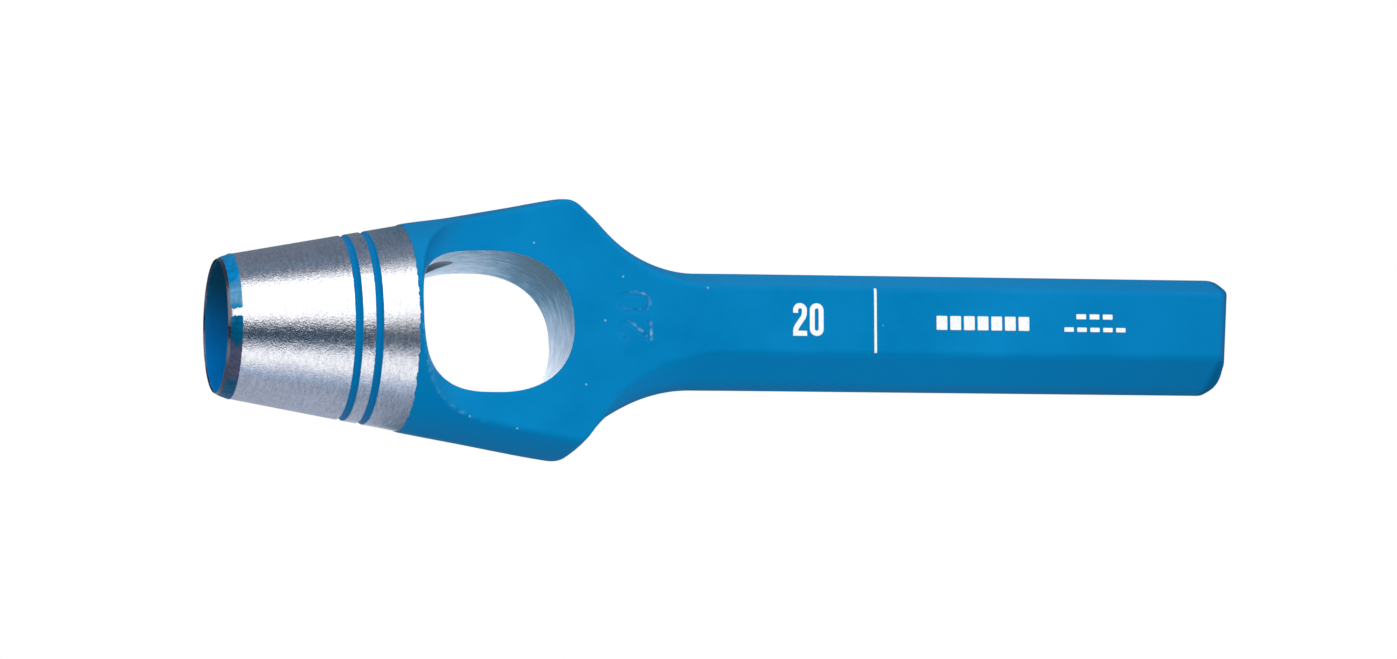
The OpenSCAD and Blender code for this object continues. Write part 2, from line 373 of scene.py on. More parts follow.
def extract(grid, surfaces, relax):
    """Quad mesh round the space where all fields are negative, with crisp feature lines.

    Returns points, quads, and for each point a bit mask of the surfaces it lies on.
    """
    inside = evaluate(surfaces, *np.meshgrid(*grid, indexing="ij")).max(0) < 0
    cells_y, cells_z = len(grid[1]) - 1, len(grid[2]) - 1
    quads, crossings, owners = [], [], []
    for axis in range(3):
        low, high = [slice(None)] * 3, [slice(None)] * 3
        low[axis], high[axis] = slice(0, -1), slice(1, None)
        low_inside = inside[tuple(low)]
        edge = np.array(np.nonzero(low_inside != inside[tuple(high)]))
        p0 = np.stack([grid[m][edge[m]] for m in range(3)], 1).astype(float)
        p1 = p0.copy()
        p1[:, axis] = grid[axis][edge[axis] + 1]
        start_in = low_inside[tuple(edge)]
        # bisect each grid edge for the place where it meets the surface
        t0, t1 = np.zeros(len(p0)), np.ones(len(p0))
        for _ in range(9):
            t = (t0 + t1) / 2
            p = p0 + (p1 - p0) * t[:, None]
            same = (evaluate(surfaces, *p.T).max(0) < 0) == start_in
            t0, t1 = np.where(same, t, t0), np.where(same, t1, t)
        p = p0 + (p1 - p0) * ((t0 + t1) / 2)[:, None]
        # the four cells round a crossed edge make one quad
        b, c = (axis + 1) % 3, (axis + 2) % 3
        around = []
        for db, dc in ((-1, -1), (0, -1), (0, 0), (-1, 0)):
            i, j, k = edge + np.array([(m == b) * db + (m == c) * dc for m in range(3)])[:, None]
            around.append((i * cells_y + j) * cells_z + k)
        around = np.stack(around, 1)
        quads.append(np.where(start_in[:, None], around, around[:, ::-1]))
        crossings.append(np.repeat(p, 4, 0))
        owners.append(np.repeat(evaluate(surfaces, *p.T).argmax(0), 4))
    crossings, owners = np.concatenate(crossings), np.concatenate(owners)
    cells, index = np.unique(np.concatenate(quads).ravel(), return_inverse=True)
    total = len(cells)
    count = np.bincount(index, minlength=total)
    points = np.stack([np.bincount(index, crossings[:, m], total) / count for m in range(3)], 1)
    mask = np.zeros(total, int)
    for n in range(len(surfaces)):
        mask |= (np.bincount(index, owners == n, total) > 0).astype(int) << n
    quads = index.reshape(-1, 4)
    span = np.array([np.diff(lines).max() for lines in grid])
    points = project(points, mask, surfaces, limit=span)
    return relaxed(points, quads, mask, surfaces, relax), quads, mask


def grid_lines(start, *spans):
    """Grid lines from start through spans of (end, spacing)."""
    out = [start]
    for end, spacing in spans:
        count = max(1, round((end - out[-1]) / spacing))
        out += list(np.linspace(out[-1], end, count + 1)[1:])
    return np.array(out)


# ------------------------------------------------------------------ mesh helpers
def owning_surface(points, quads, surfaces):
    return evaluate(surfaces, *points[quads].mean(1).T).argmax(0)


def compact(points, quads, mask):
    """Drops the points that no quad uses."""
    used = np.unique(quads)
    renumber = np.full(len(points), -1)
    renumber[used] = np.arange(len(used))
    return points[used], renumber[quads], mask[used]


def boundary_loops(quads):
    """Boundary loops of a quad mesh, each a list of vertex numbers in order."""
    edges = {(int(a), int(b)) for a, b in quad_edges(quads)}
    following = {a: b for a, b in edges if (b, a) not in edges}
    out = []
    while following:
        start, current = next(iter(following.items()))
        loop = [start]
        del following[start]
        while current != start:
            loop.append(current)
            current = following.pop(current)
        out.append(loop)
    return out


def make(name, points, faces, materials, sharp_angle=None, slots=None):
    """Object from points in mm; smooth shaded when an angle for sharp edges is given."""
    mesh = bpy.data.meshes.new(name)
    corners = [tuple(p) for p in (np.asarray(points) * MM).tolist()]
    mesh.from_pydata(corners, [], [tuple(face) for face in faces])
    mesh.validate()
    obj = bpy.data.objects.new(name, mesh)
    bpy.context.scene.collection.objects.link(obj)
    for material in materials:
        mesh.materials.append(material)
    if slots is not None:
        mesh.polygons.foreach_set("material_index", np.asarray(slots, np.int32))
    smooth = np.full(len(mesh.polygons), sharp_angle is not None)
    mesh.polygons.foreach_set("use_smooth", smooth)
    if sharp_angle:
        mesh.set_sharp_from_angle(angle=math.radians(sharp_angle))
    mesh.update()
    return obj


def register(obj, part):
    """Tells the frame that obj rides on the root and stands in for a CAD part."""
    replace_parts(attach(obj, "root"), part)


def ring_mesh(profile, segments, jitter):
    """Closed (x, radius) profile turned about X; jitter(x, radius, angle) moves each point."""
    p = np.asarray(profile, float)
    n = len(p)
    angle = np.repeat((np.arange(segments) * 2 * np.pi / segments)[:, None], n, 1)
    x, r = (np.repeat(p[None, :, m], segments, 0) for m in (0, 1))
    x, r = jitter(x, r, angle)
    points = np.stack([x, r * np.cos(angle), r * np.sin(angle)], -1).reshape(-1, 3)
    i, j = np.meshgrid(np.arange(segments), np.arange(n), indexing="ij")
    i2, j2 = (i + 1) % segments, (j + 1) % n
    quads = np.stack([i * n + j, i2 * n + j, i2 * n + j2, i * n + j2], -1).reshape(-1, 4)
    return points, outward(points, quads)


def outward(points, quads):
    """Turns the faces so that the enclosed volume is positive."""
    a, b, c, d = (points[quads[:, m]] for m in range(4))
    volume = np.einsum("ij,ij->i", a, np.cross(b, c)).sum()
    volume += np.einsum("ij,ij->i", a, np.cross(c, d)).sum()
    return quads if volume > 0 else quads[:, ::-1]


def zip_rings(points, ring_a, ring_b, facing):
    """Triangles between two rings about X; facing is 1 away from the axis, -1 towards it."""
    def by_angle(ring):
        angles = np.arctan2(points[ring, 2], points[ring, 1]) % (2 * np.pi)
        order = np.argsort(angles)
        return [ring[m] for m in order], angles[order]

    ring_a, angle_a = by_angle(ring_a)
    ring_b, angle_b = by_angle(ring_b)
    count_a, count_b = len(ring_a), len(ring_b)
    i = j = 0
    triangles = []
    while i < count_a or j < count_b:
        next_a = angle_a[i + 1] if i + 1 < count_a else angle_a[0] + 2 * np.pi
        next_b = angle_b[j + 1] if j + 1 < count_b else angle_b[0] + 2 * np.pi
        here_a, here_b = ring_a[i % count_a], ring_b[j % count_b]
        if j >= count_b or (i < count_a and next_a <= next_b):
            triangles.append((here_a, ring_a[(i + 1) % count_a], here_b))
            i += 1
        else:
            triangles.append((here_a, ring_b[(j + 1) % count_b], here_b))
            j += 1
    t = np.array(triangles)
    normal = np.cross(points[t[:, 1]] - points[t[:, 0]], points[t[:, 2]] - points[t[:, 0]])
    radial = points[t].mean(1) * (0, 1, 1)
    if (normal * radial).sum() * facing < 0:
        t = t[:, ::-1]
    return [tuple(triangle) for triangle in t.tolist()]


# ------------------------------------------------------------------ shader node helpers
class Nodes:
    """Builds one node tree; most methods return an output socket."""

    def __init__(self, owner):
        owner.use_nodes = True
        self.tree = owner.node_tree
        self.tree.nodes.clear()

    def fill(self, node, inputs):
        for key, value in inputs.items():
            if isinstance(value, bpy.types.NodeSocket):
                self.tree.links.new(value, node.inputs[key])
            else:
                node.inputs[key].default_value = value

    def node(self, kind, inputs, **settings):
        node = self.tree.nodes.new(kind)
        for key, value in settings.items():
            setattr(node, key, value)
        self.fill(node, inputs)
        return node

    def add(self, kind, inputs, output=0, **settings):
        return self.node(kind, inputs, **settings).outputs[output]

    def math(self, operation, a, b=0.0, clamp=False):
        inputs = {0: a, 1: b, 2: 0.0}
        return self.add("ShaderNodeMath", inputs, operation=operation, use_clamp=clamp)

    def plus(self, a, b):
        return self.math("ADD", a, b)

    def minus(self, a, b, clamp=False):
        return self.math("SUBTRACT", a, b, clamp)

    def times(self, a, b, clamp=False):
        return self.math("MULTIPLY", a, b, clamp)

    def over(self, a, b, clamp=False):
        return self.math("DIVIDE", a, b, clamp)

    def fade_in(self, value, start, width):
        """0 up to start, then rising to 1 over width."""
        return self.over(self.minus(value, start), width, clamp=True)

    def fade_out(self, value, end, width):
        """1, then falling over width to 0 at end."""
        return self.over(self.minus(end, value), width, clamp=True)

    def swing(self, value, amount):
        """A 0 to 1 value made to swing about 0."""
        return self.times(self.minus(value, 0.5), amount)

    def length(self, x, y, square):
        return self.math("SQRT", self.plus(square(x), square(y)))

    def turn(self, sine, cosine):
        """Angle as a fraction of a turn: 0 at -180 degrees, 1 at 180."""
        return self.plus(self.over(self.math("ARCTAN2", sine, cosine), 2 * math.pi), 0.5)

    def mix(self, factor, first, second):
        """Blend of two colours, each a socket or (r, g, b)."""
        first, second = (c + (1,) if isinstance(c, tuple) else c for c in (first, second))
        inputs = {0: factor, 6: first, 7: second}
        return self.add("ShaderNodeMix", inputs, 2, data_type="RGBA")

    def ramp(self, factor, stops):
        """Colour ramp through (position, grey or (r, g, b))."""
        node = self.node("ShaderNodeValToRGB", {0: factor})
        elements = node.color_ramp.elements
        while len(elements) < len(stops):
            elements.new(0.5)
        for element, (position, c) in zip(elements, stops):
            element.position = position
            element.color = c + (1,) if isinstance(c, tuple) else (c, c, c, 1)
        return node.outputs[0]

    def ramp_round(self, turn, stops):
        """Colour ramp through (degrees, colour)."""
        return self.ramp(turn, [(0.5 + degrees / 360.0, c) for degrees, c in stops])

    def contrast(self, value, low, high):
        return self.ramp(value, [(low, 0.0), (high, 1.0)])

    def noise(self, vector, scale, detail, roughness, distortion=0.0):
        return self.add("ShaderNodeTexNoise", {
            "Vector": vector, "Scale": scale, "Detail": detail,
            "Roughness": roughness, "Distortion": distortion})

    def vector(self, operation, a, b, output=0):
        return self.add("ShaderNodeVectorMath", {0: a, 1: b}, output, operation=operation)

    def place(self):
        """Object coordinates in mm."""
        metres = self.add("ShaderNodeTexCoord", {}, "Object")
        return self.add("ShaderNodeVectorMath", {0: metres, 3: 1000.0}, operation="SCALE")

    def split(self, vector):
        return self.node("ShaderNodeSeparateXYZ", {0: vector}).outputs[:]

    def attribute(self, name, output=2):
        """Attribute from the mesh: output 2 is its value, 0 its colour."""
        return self.add("ShaderNodeAttribute", {}, output, attribute_name=name)

    def bumps(self, *layers):
        """Bumps laid over one another, each (height, depth in mm, strength)."""
        normal = None
        for height, depth, strength in layers:
            inputs = {"Height": height, "Distance": depth * MM, "Strength": strength}
            if normal is not None:
                inputs["Normal"] = normal
            normal = self.add("ShaderNodeBump", inputs)
        return normal

    def specks(self, place, scale, size, keep, shift):
        """Round specks: 1 inside a speck, 0 elsewhere; keep is the share of cells with one."""
        moved = self.vector("ADD", place, (shift * 1.7, shift * 2.3, shift * 0.9))
        cells = self.node("ShaderNodeTexVoronoi", {"Vector": moved, "Scale": scale})
        chance, spread, _ = self.split(cells.outputs["Color"])
        radius = self.times(self.plus(spread, 0.35), size * scale)
        dot = self.minus(1.0, self.over(cells.outputs["Distance"], radius), clamp=True)
        return self.times(dot, self.math("LESS_THAN", chance, keep))


def new_material(name):
    material = bpy.data.materials.new(name)
    nodes = Nodes(material)
    shader = nodes.node("ShaderNodeBsdfPrincipled", {})
    nodes.node("ShaderNodeOutputMaterial", {0: shader.outputs[0]})
    return material, nodes, shader


# ------------------------------------------------------------------ enamels
BODY_PAINT = (0.0, 0.208, 0.498)
# painted light: the groove paint is the body paint made a little lighter, to make up for the shade
# in the grooves
GROOVE_PAINT = (0.0, 0.215, 0.52)
# painted light: the bore paint is the body paint made much lighter, to make up for the shade
# inside the bore
BORE_PAINT = (0.0, 0.24, 0.70)
# pale dust grains on the marked face, (x, y) in mm
DUST = ((43.6, -16.7), (54.5, -9.95), (70.0, -6.7), (73.9, 4.9),
        (61.0, 6.7), (57.9, -0.1), (47.35, 11.7), (36.3, -15.0))
DUST_SIZE = 0.17


def tint(paint, green, blue, red=0.0):
    """The paint with its green and blue scaled and some red added."""
    return (paint[0] + red, paint[1] * green, paint[2] * blue)


def sprayed(nodes, place, specks, paint):
    """Cloudy paint with fine grain and pale specks."""
    clouds = nodes.noise(place, scale=0.07, detail=3, roughness=0.55)
    grain = nodes.noise(place, scale=1.1, detail=3, roughness=0.6)
    colour = nodes.mix(nodes.contrast(clouds, low=0.32, high=0.68),
                       tint(paint, 0.9, 0.9), tint(paint, 1.07, 1.05, red=0.002))
    grain = nodes.times(nodes.contrast(grain, low=0.35, high=0.75), 0.10)
    colour = nodes.mix(grain, colour, tint(paint, 1.35, 1.2))
    return nodes.mix(nodes.times(specks, 0.75, clamp=True), colour, (0.42, 0.66, 0.80))


def groove_paint(nodes, place, specks):
    return {"Base Color": sprayed(nodes, place, specks, GROOVE_PAINT)}


def bore_paint(nodes, place, specks):
    """Painted shade: darker towards +Y, over a paint made lighter to make up for the shade inside
    the bore.
    """
    colour = sprayed(nodes, place, specks, BORE_PAINT)
    _, y, _ = nodes.split(place)
    shade = nodes.fade_in(y, start=-3.0, width=11.0)
    dark = tint(BORE_PAINT, 0.40, 0.248, red=0.008)
    return {"Base Color": nodes.mix(shade, colour, dark)}


def bevel_paint(nodes, place, specks):
    return {"Base Color": nodes.attribute("tone", output=0)}


def body_paint(nodes, place, specks):
    """Dust grains, painted highlights on the crease and the struck mark, painted shade in the
    scoop, and painted light and shade on the sides and towards the far end.
    """
    colour = sprayed(nodes, place, specks, BODY_PAINT)
    x, y, z = nodes.split(place)

    def square_from(centre):
        return lambda value: nodes.math("POWER", nodes.minus(value, centre[value]), 2.0)

    grains = 0.0
    for dust_x, dust_y in DUST:
        across_x = nodes.math("POWER", nodes.minus(x, dust_x), 2.0)
        across_y = nodes.math("POWER", nodes.minus(y, dust_y), 2.0)
        distance = nodes.math("SQRT", nodes.plus(across_x, across_y))
        grain = nodes.minus(1.25, nodes.over(distance, DUST_SIZE), clamp=True)
        grains = nodes.math("MAXIMUM", grains, grain)
    grains = nodes.times(grains, nodes.math("GREATER_THAN", z, 0.0))
    colour = nodes.mix(nodes.times(grains, 0.55), colour, (0.50, 0.74, 0.86))
    # painted shade in the foot of the scoop
    shade = nodes.times(nodes.attribute("shade"), 0.55)
    colour = nodes.mix(shade, colour, tint(BODY_PAINT, 0.35, 0.38))
    # painted highlight along the crease and on the lips of the struck mark
    colour = nodes.mix(nodes.attribute("painted_highlight"), colour, (0.30, 0.62, 0.82))

    # painted light: faces turned to +Y, along the shank only, and faces turned to -Y are made
    # lighter
    _, normal_y, _ = nodes.split(nodes.add("ShaderNodeTexCoord", {}, "Normal"))
    plus_y = nodes.times(nodes.fade_in(normal_y, start=0.62, width=0.2),
                         nodes.fade_in(x, start=70.0, width=8.0))
    minus_y = nodes.fade_in(nodes.times(normal_y, -1.0), start=0.55, width=0.25)
    colour = nodes.mix(plus_y, colour, tint(BODY_PAINT, 1.09, 1.06, red=0.004))
    colour = nodes.mix(minus_y, colour, tint(BODY_PAINT, 1.15, 1.17))

    # painted shade: darker towards the far end, and darkest on its slanting rim
    far = nodes.times(nodes.fade_in(x, start=112.0, width=46.0), 0.5)
    colour = nodes.mix(far, colour, tint(BODY_PAINT, 0.84, 0.88))
    squared_x = nodes.minus(x, nodes.times(y, END_SLANT))
    rim = nodes.times(nodes.fade_in(squared_x, start=LENGTH - 1.7, width=1.0), 0.6)
    colour = nodes.mix(rim, colour, tint(BODY_PAINT, 0.4, 0.45))
    sides = nodes.times(nodes.math("MAXIMUM", plus_y, minus_y), 0.06)
    return {"Base Color": colour, "Specular IOR Level": nodes.minus(0.10, sides)}


def enamel(name, painted, roughness):
    """Specked enamel with a faint orange peel; painted gives the colour inputs."""
    material, nodes, shader = new_material(name)
    place = nodes.place()
    coarse = nodes.specks(place, scale=0.16, size=0.16, keep=0.30, shift=3.0)
    fine = nodes.specks(place, scale=0.42, size=0.075, keep=0.22, shift=8.0)
    specks = nodes.math("MAXIMUM", nodes.times(coarse, 1.6), fine, clamp=True)
    uneven = nodes.noise(place, scale=0.5, detail=4, roughness=0.6)
    peel = nodes.noise(place, scale=0.9, detail=2, roughness=0.5)
    waves = nodes.noise(place, scale=0.16, detail=2, roughness=0.5)
    nodes.fill(shader, {
        "Roughness": nodes.plus(nodes.times(uneven, 0.16), roughness - 0.08),
        "Specular IOR Level": 0.10,
        "Specular Tint": (0.1, 0.65, 1.0, 1),
        "Normal": nodes.bumps((peel, 0.035, 0.5), (waves, 0.22, 0.5), (specks, 0.06, 0.8))})
    nodes.fill(shader, painted(nodes, place, specks))
    return material


# ------------------------------------------------------------------ metals and print
def ground_steel():
    """Head: bare steel with marks that run round the axis."""
    material, nodes, shader = new_material("ground_steel")
    place = nodes.place()
    x, y, z = nodes.split(place)
    radius = nodes.math("SQRT", nodes.plus(nodes.times(y, y), nodes.times(z, z)))
    cosine = nodes.over(y, radius)
    sine = nodes.over(z, radius)
    mean_radius = 13.0

    def marks(along, around, slant, detail, roughness):
        """Noise stretched round the axis: frequencies per mm, and a shift in x with y."""
        shifted = nodes.plus(nodes.times(x, along), nodes.times(cosine, slant))
        turned = nodes.add("ShaderNodeCombineXYZ", {
            0: shifted,
            1: nodes.times(cosine, mean_radius * around),
            2: nodes.times(sine, mean_radius * around)})
        return nodes.noise(turned, scale=1.0, detail=detail, roughness=roughness)

    streak = marks(along=2.4, around=0.75, slant=0.0, detail=4, roughness=0.62)
    fine = marks(along=6.0, around=2.2, slant=0.6, detail=3, roughness=0.6)
    lap = marks(along=1.5, around=0.42, slant=2.5, detail=2, roughness=0.5)
    grain = nodes.noise(place, scale=3.4, detail=3, roughness=0.65)
    clouds = nodes.noise(place, scale=0.22, detail=3, roughness=0.5)
    tone = nodes.plus(nodes.times(streak, 0.5),
                      nodes.plus(nodes.times(grain, 0.35), nodes.times(fine, 0.15)))
    colour = nodes.mix(nodes.contrast(tone, low=0.38, high=0.60),
                       (0.55, 0.57, 0.63), (0.88, 0.87, 0.90))
    clouds = nodes.times(nodes.contrast(clouds, low=0.45, high=0.7), 0.25)
    colour = nodes.mix(clouds, colour, (0.62, 0.60, 0.66))
    # darker at the cutting edge
    edge = nodes.fade_out(x, end=0.75, width=0.28)
    colour = nodes.mix(edge, colour, (0.13, 0.125, 0.16))
    spots = nodes.specks(place, scale=0.7, size=0.10, keep=0.20, shift=5.0)
    colour = nodes.mix(nodes.times(spots, 0.7, clamp=True), colour, (0.12, 0.12, 0.14))
    # rougher from the grooves back
    rear = nodes.times(nodes.fade_in(x, start=16.5, width=8.0), 0.08)
    nodes.fill(shader, {
        "Base Color": colour,
        "Metallic": 1.0,
        "Roughness": nodes.plus(nodes.times(streak, 0.14), nodes.plus(0.13, rear)),
        "Anisotropic": 0.6,
        "Anisotropic Rotation": 0.25,
        "Tangent": nodes.add("ShaderNodeTangent", {}, direction_type="RADIAL", axis="X"),
        "Normal": nodes.bumps((streak, 0.055, 0.7), (lap, 0.05, 0.6),
                              (fine, 0.02, 0.6), (grain, 0.043, 0.9))})
    return material


# painted light and shade round the window wall: (degrees from +X towards +Y, level)
WALL_LEVELS = (
    (-180, 0.62), (-100, 0.64), (-60, 1.06), (-40, 1.06), (-30, 0.82), (-8, 0.62), (14, 0.45),
    (30, 0.25), (56, 0.23), (70, 0.38), (90, 0.50), (125, 0.62), (148, 0.86), (162, 0.95),
    (180, 0.62))
# colour of the wall metal: (level, (r, g, b)), from dark blue in painted shade to a painted
# highlight
WALL_COLOURS = (
    (0.12, (0.012, 0.065, 0.12)), (0.30, (0.016, 0.115, 0.215)), (0.50, (0.20, 0.31, 0.44)),
    (0.66, (0.38, 0.46, 0.58)), (0.95, (0.94, 0.93, 0.96)))


def milled_steel(name, brightness, metallic, in_painted_shade):
    """Walls of the window or bore: bare metal marked round the opening, with painted light and
    shade.
    """
    material, nodes, shader = new_material(name)
    place = nodes.place()

    def marks(across, along_z, detail, roughness, distortion=0.0):
        stretched = nodes.vector("MULTIPLY", place, (across, across, along_z))
        return nodes.noise(stretched, 1.0, detail, roughness, distortion)

    streak = marks(across=0.22, along_z=2.2, detail=5, roughness=0.66, distortion=0.3)
    blots = marks(across=0.5, along_z=0.8, detail=3, roughness=0.6)
    fine = marks(across=0.8, along_z=6.0, detail=2, roughness=0.5)
    x, y, z = nodes.split(place)
    turn = nodes.turn(nodes.plus(y, -WINDOW_Y), nodes.minus(x, WINDOW_MIDDLE))
    level = nodes.ramp_round(turn, WALL_LEVELS)
    vary = nodes.plus(nodes.swing(streak, 0.75), nodes.swing(blots, 0.35))
    vary = nodes.plus(vary, nodes.swing(fine, 0.25))
    # painted shade: slightly darker towards +Z
    level = nodes.plus(level, nodes.plus(vary, nodes.times(z, -0.016)))
    stops = [(at, tuple(c * brightness for c in rgb)) for at, rgb in WALL_COLOURS]
    colour = nodes.ramp(level, stops)
    # painted shade: the bored metal is darkened to a near black blue
    if in_painted_shade:
        colour = nodes.mix(0.85, colour, (0.010, 0.045, 0.090))
    pits = nodes.specks(place, scale=0.33, size=0.16, keep=0.22, shift=2.0)
    colour = nodes.mix(nodes.times(pits, 1.2, clamp=True), colour, (0.03, 0.035, 0.05))
    nodes.fill(shader, {
        "Base Color": colour,
        "Metallic": metallic,
        "Roughness": nodes.plus(nodes.times(streak, 0.25), 0.34),
        "Specular IOR Level": 0.1,
        "Specular Tint": (0.74, 0.92, 1.0, 1),
        "Normal": nodes.bumps((streak, 0.10, 0.6), (fine, 0.03, 0.6),
                              (nodes.minus(1.0, pits), 0.12, 1.0))})
    return material


def white_print():
    material, nodes, shader = new_material("white_print")
    place = nodes.place()
    thin = nodes.noise(place, scale=3.0, detail=3, roughness=0.6)
    relief = nodes.noise(place, scale=2.2, detail=2, roughness=0.5)
    nodes.fill(shader, {
        "Base Color": nodes.mix(nodes.contrast(thin, low=0.30, high=0.46),
                                (0.66, 0.78, 0.84), (0.93, 0.95, 0.94)),
        "Roughness": nodes.plus(nodes.times(thin, 0.2), 0.42),
        "Normal": nodes.bumps((relief, 0.02, 0.5))})
    return material


BODY_ENAMEL = enamel("blue_enamel", body_paint, roughness=0.36)
GROOVE_ENAMEL = enamel("groove_enamel", groove_paint, roughness=0.42)
BORE_ENAMEL = enamel("bore_enamel", bore_paint, roughness=0.5)
BEVEL_ENAMEL = enamel("bevel_enamel", bevel_paint, roughness=0.34)
GROUND_STEEL = ground_steel()
WINDOW_STEEL = milled_steel("milled_steel", brightness=1.0, metallic=0.45, in_painted_shade=False)
# painted shade: the bore walls in the window are darkened
BORE_STEEL = milled_steel("bored_steel", brightness=0.17, metallic=0.2, in_painted_shade=True)
PRINT = white_print()

# ------------------------------------------------------------------ steel forging
HEAD_END = GROUND_END - 0.3  # the turned mesh stops here; triangles bridge to the sculpted one
HEAD_SEGMENTS = 384
# section of a groove side: (distance into the groove, depth below the cone)
GROOVE_WALL = ((0, 0.05), (0.02, 0.35), (0.06, GROOVE_DEPTH - 0.05), (0.16, GROOVE_DEPTH))


def groove_sides(start, wall):
    """A wall section set on both sides of a groove, as (x, radius), each from the top down."""
    end = start + GROOVE_WIDTH
    front = [(start + inset, cone_radius(start) - depth) for inset, depth in wall]
    rear = [(end - inset, cone_radius(end) - depth) for inset, depth in wall]
    return front, rear


def head_profile():
    """(x, radius) along the cone to the cutting edge, and back along the bore."""
    def on_cone(*stations):
        return [(x, cone_radius(x)) for x in stations]

    out = on_cone(HEAD_END, 25.2)
    for start in reversed(GROOVES):
        front, rear = groove_sides(start, GROOVE_WALL)
        out += on_cone(start + GROOVE_WIDTH + 0.03) + rear + front[::-1] + on_cone(start - 0.03)
    out += on_cone(16, 12, 8, 5, 3, BEVEL_LENGTH + 0.12)
    out.append((BEVEL_LENGTH + 0.02, cone_radius(BEVEL_LENGTH) - 0.012))
    out += [(x, bevel_radius(x)) for x in (BEVEL_LENGTH - 0.1, 1.5, 0.9, 0.4, 0.06)]
    out += [(0.0, EDGE_RADIUS - 0.02), (0.0, BORE_RADIUS + 0.02), (0.05, BORE_RADIUS)]
    out += [(x, bore_radius(x)) for x in (0.5, 1.5, 4, 8, 12, 16, 20, 24, HEAD_END)]
    return np.array(out)


def turned_head():
    """Points and quads of the head, ring after ring along its profile."""
    profile = head_profile()
    rings = len(profile)
    angles = np.arange(HEAD_SEGMENTS) * 2 * np.pi / HEAD_SEGMENTS
    x, angle = np.meshgrid(profile[:, 0], angles, indexing="ij")
    r = np.repeat(profile[:, 1][:, None], HEAD_SEGMENTS, 1)
    # small dings in the cutting edge
    ding = np.clip(noise(angle * 9, x * 2, 0, 11) - 0.62, 0, 1) * 0.10
    x = x + ding * np.exp(-((x / 0.5) ** 2)) * (r > BORE_RADIUS + 0.03)
    # burrs on the groove corners
    burr = 0.03 * noise(angle * 60, x * 0.7, 0, 5)
    on_corner = np.zeros_like(x)
    for start in GROOVES:
        for corner in (start, start + GROOVE_WIDTH):
            near = (np.abs(profile[:, 0] - corner) < 0.04)[:, None]
            on_corner += near & (np.abs(r - cone_radius(x)) < 0.06)
    x = x + burr * on_corner
    points = np.stack([x, r * np.cos(angle), r * np.sin(angle)], -1).reshape(-1, 3)
    i, j = np.meshgrid(np.arange(rings - 1), np.arange(HEAD_SEGMENTS), indexing="ij")
    here, ahead = i * HEAD_SEGMENTS, (i + 1) * HEAD_SEGMENTS
    j2 = (j + 1) % HEAD_SEGMENTS
    return points, np.stack([here + j, ahead + j, ahead + j2, here + j2], -1).reshape(-1, 4)


def build_forging():
    """Turned head joined to the sculpted arch and shank."""
    grid = (
        grid_lines(GROUND_END - 0.6, (59.4, 0.42), (65.4, 0.18), (81, 0.7), (153.0, 2.4),
                   (159.4, 0.4)),
        grid_lines(-21.4, (-4.6, 0.42), (5.2, 0.18), (21.4, 0.42)),
        grid_lines(-16.8, (16.8, 0.42)))
    surfaces = [outer, window, bore, head_cut]  # the first three are also the material slots
    body, quads, mask = extract(grid, surfaces, relax=3)
    owner = owning_surface(body, quads, surfaces)
    keep = owner != 3
    body, quads, mask = compact(body, quads[keep], mask)
    head, head_quads = turned_head()
    base = len(body)
    points = np.concatenate([body, head])
    faces = quads.tolist() + (head_quads + base).tolist()
    slots = owner[keep].tolist() + [0] * len(head_quads)
    for loop in boundary_loops(quads):
        if np.hypot(body[loop, 1], body[loop, 2]).mean() > 13:
            first, facing, slot = base, 1, 0
        else:
            first, facing, slot = len(points) - HEAD_SEGMENTS, -1, 2
        ring = list(range(first, first + HEAD_SEGMENTS))
        bridge = zip_rings(points, loop, ring, facing)
        faces += bridge
        slots += [slot] * len(bridge)
    materials = (GROUND_STEEL, WINDOW_STEEL, BORE_STEEL)
    obj = make("punch_forging_visual", points, faces, materials, sharp_angle=28, slots=slots)
    register(obj, "punch_forging")


# ------------------------------------------------------------------ enamel on the arch and shank
def paint_attributes(obj, points):
    """Paint attributes: a painted highlight along the crease and on the lips of the struck mark,
    and painted shade in the foot of the scoop.
    """
    x, y, z = points.T
    gap = side(x, np.abs(z)) - cone(x, y, z)
    in_scoop = (x < SCOOP_X) & (gap > -0.6)
    # painted highlight along the crease between cone and scoop, on the -Y side
    broken = unit(noise(x * 2.2, y * 2.2, z * 2.2, 61) + 0.25)
    painted_highlight = np.exp(-((gap / 0.20) ** 2)) * in_scoop * unit(-y / 4) * broken * 0.32
    # and on the lips of the struck mark, more towards the shank
    reach = 0.12
    slope_x = (stamp(x + reach, y, z) - stamp(x - reach, y, z)) / (2 * reach)
    slope_y = (stamp(x, y + reach, z) - stamp(x, y - reach, z)) / (2 * reach)
    lips = np.clip(-0.75 * slope_x - 0.5 * slope_y - 0.5, 0, 2)
    lips = lips * np.clip((x - STAMP_X + 2.6) / 4.2, 0.15, 1)
    painted_highlight = painted_highlight + lips * unit(noise(x * 2.0, y * 2.0, 0, 62) * 0.9 + 0.45) * 0.46
    # painted shade in the foot of the scoop, strongest towards +Y
    shade = np.where(in_scoop, np.exp(-np.clip(gap, 0, 9) / 1.9), 0) * unit((SCOOP_X - x) / 6)
    shade = shade * np.clip((y + 7) / 12, 0.12, 1) * unit((gap + 0.2) / 0.35)
    for name, values in (("painted_highlight", unit(painted_highlight)), ("shade", unit(shade))):
        data = obj.data.attributes.new(name, "FLOAT", "POINT").data
        data.foreach_set("value", values.astype(np.float32))


